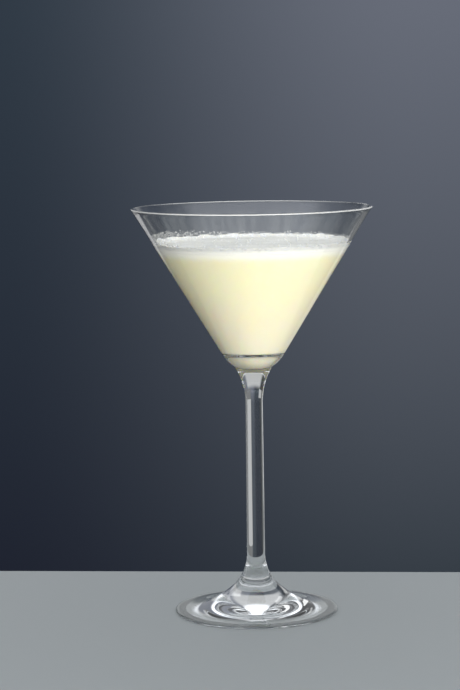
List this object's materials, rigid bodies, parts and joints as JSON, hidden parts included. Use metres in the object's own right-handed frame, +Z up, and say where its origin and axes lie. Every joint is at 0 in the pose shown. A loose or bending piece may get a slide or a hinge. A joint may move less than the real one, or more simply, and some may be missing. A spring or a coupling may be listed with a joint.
{
  "type": "creamy cocktail in a stemmed glass",
  "caption": "Cream-coloured almond cocktail with a frothy top in a conical stemmed glass with a round foot.",
  "frame": {"origin": "on the table under the middle of the foot", "axes": "+Z up along the stem; the glass is round about Z, so X and Y are free"},
  "size_m": [0.1144, 0.1142, 0.195],
  "materials": {
    "glass": "clear, fire polished",
    "cocktail": "opaque creamy liquid",
    "foam": "fine wet froth"
  },
  "bodies": {
    "root": {"glass": "glass", "cocktail": "cocktail", "foam": "foam"}
  },
  "joints": []
}
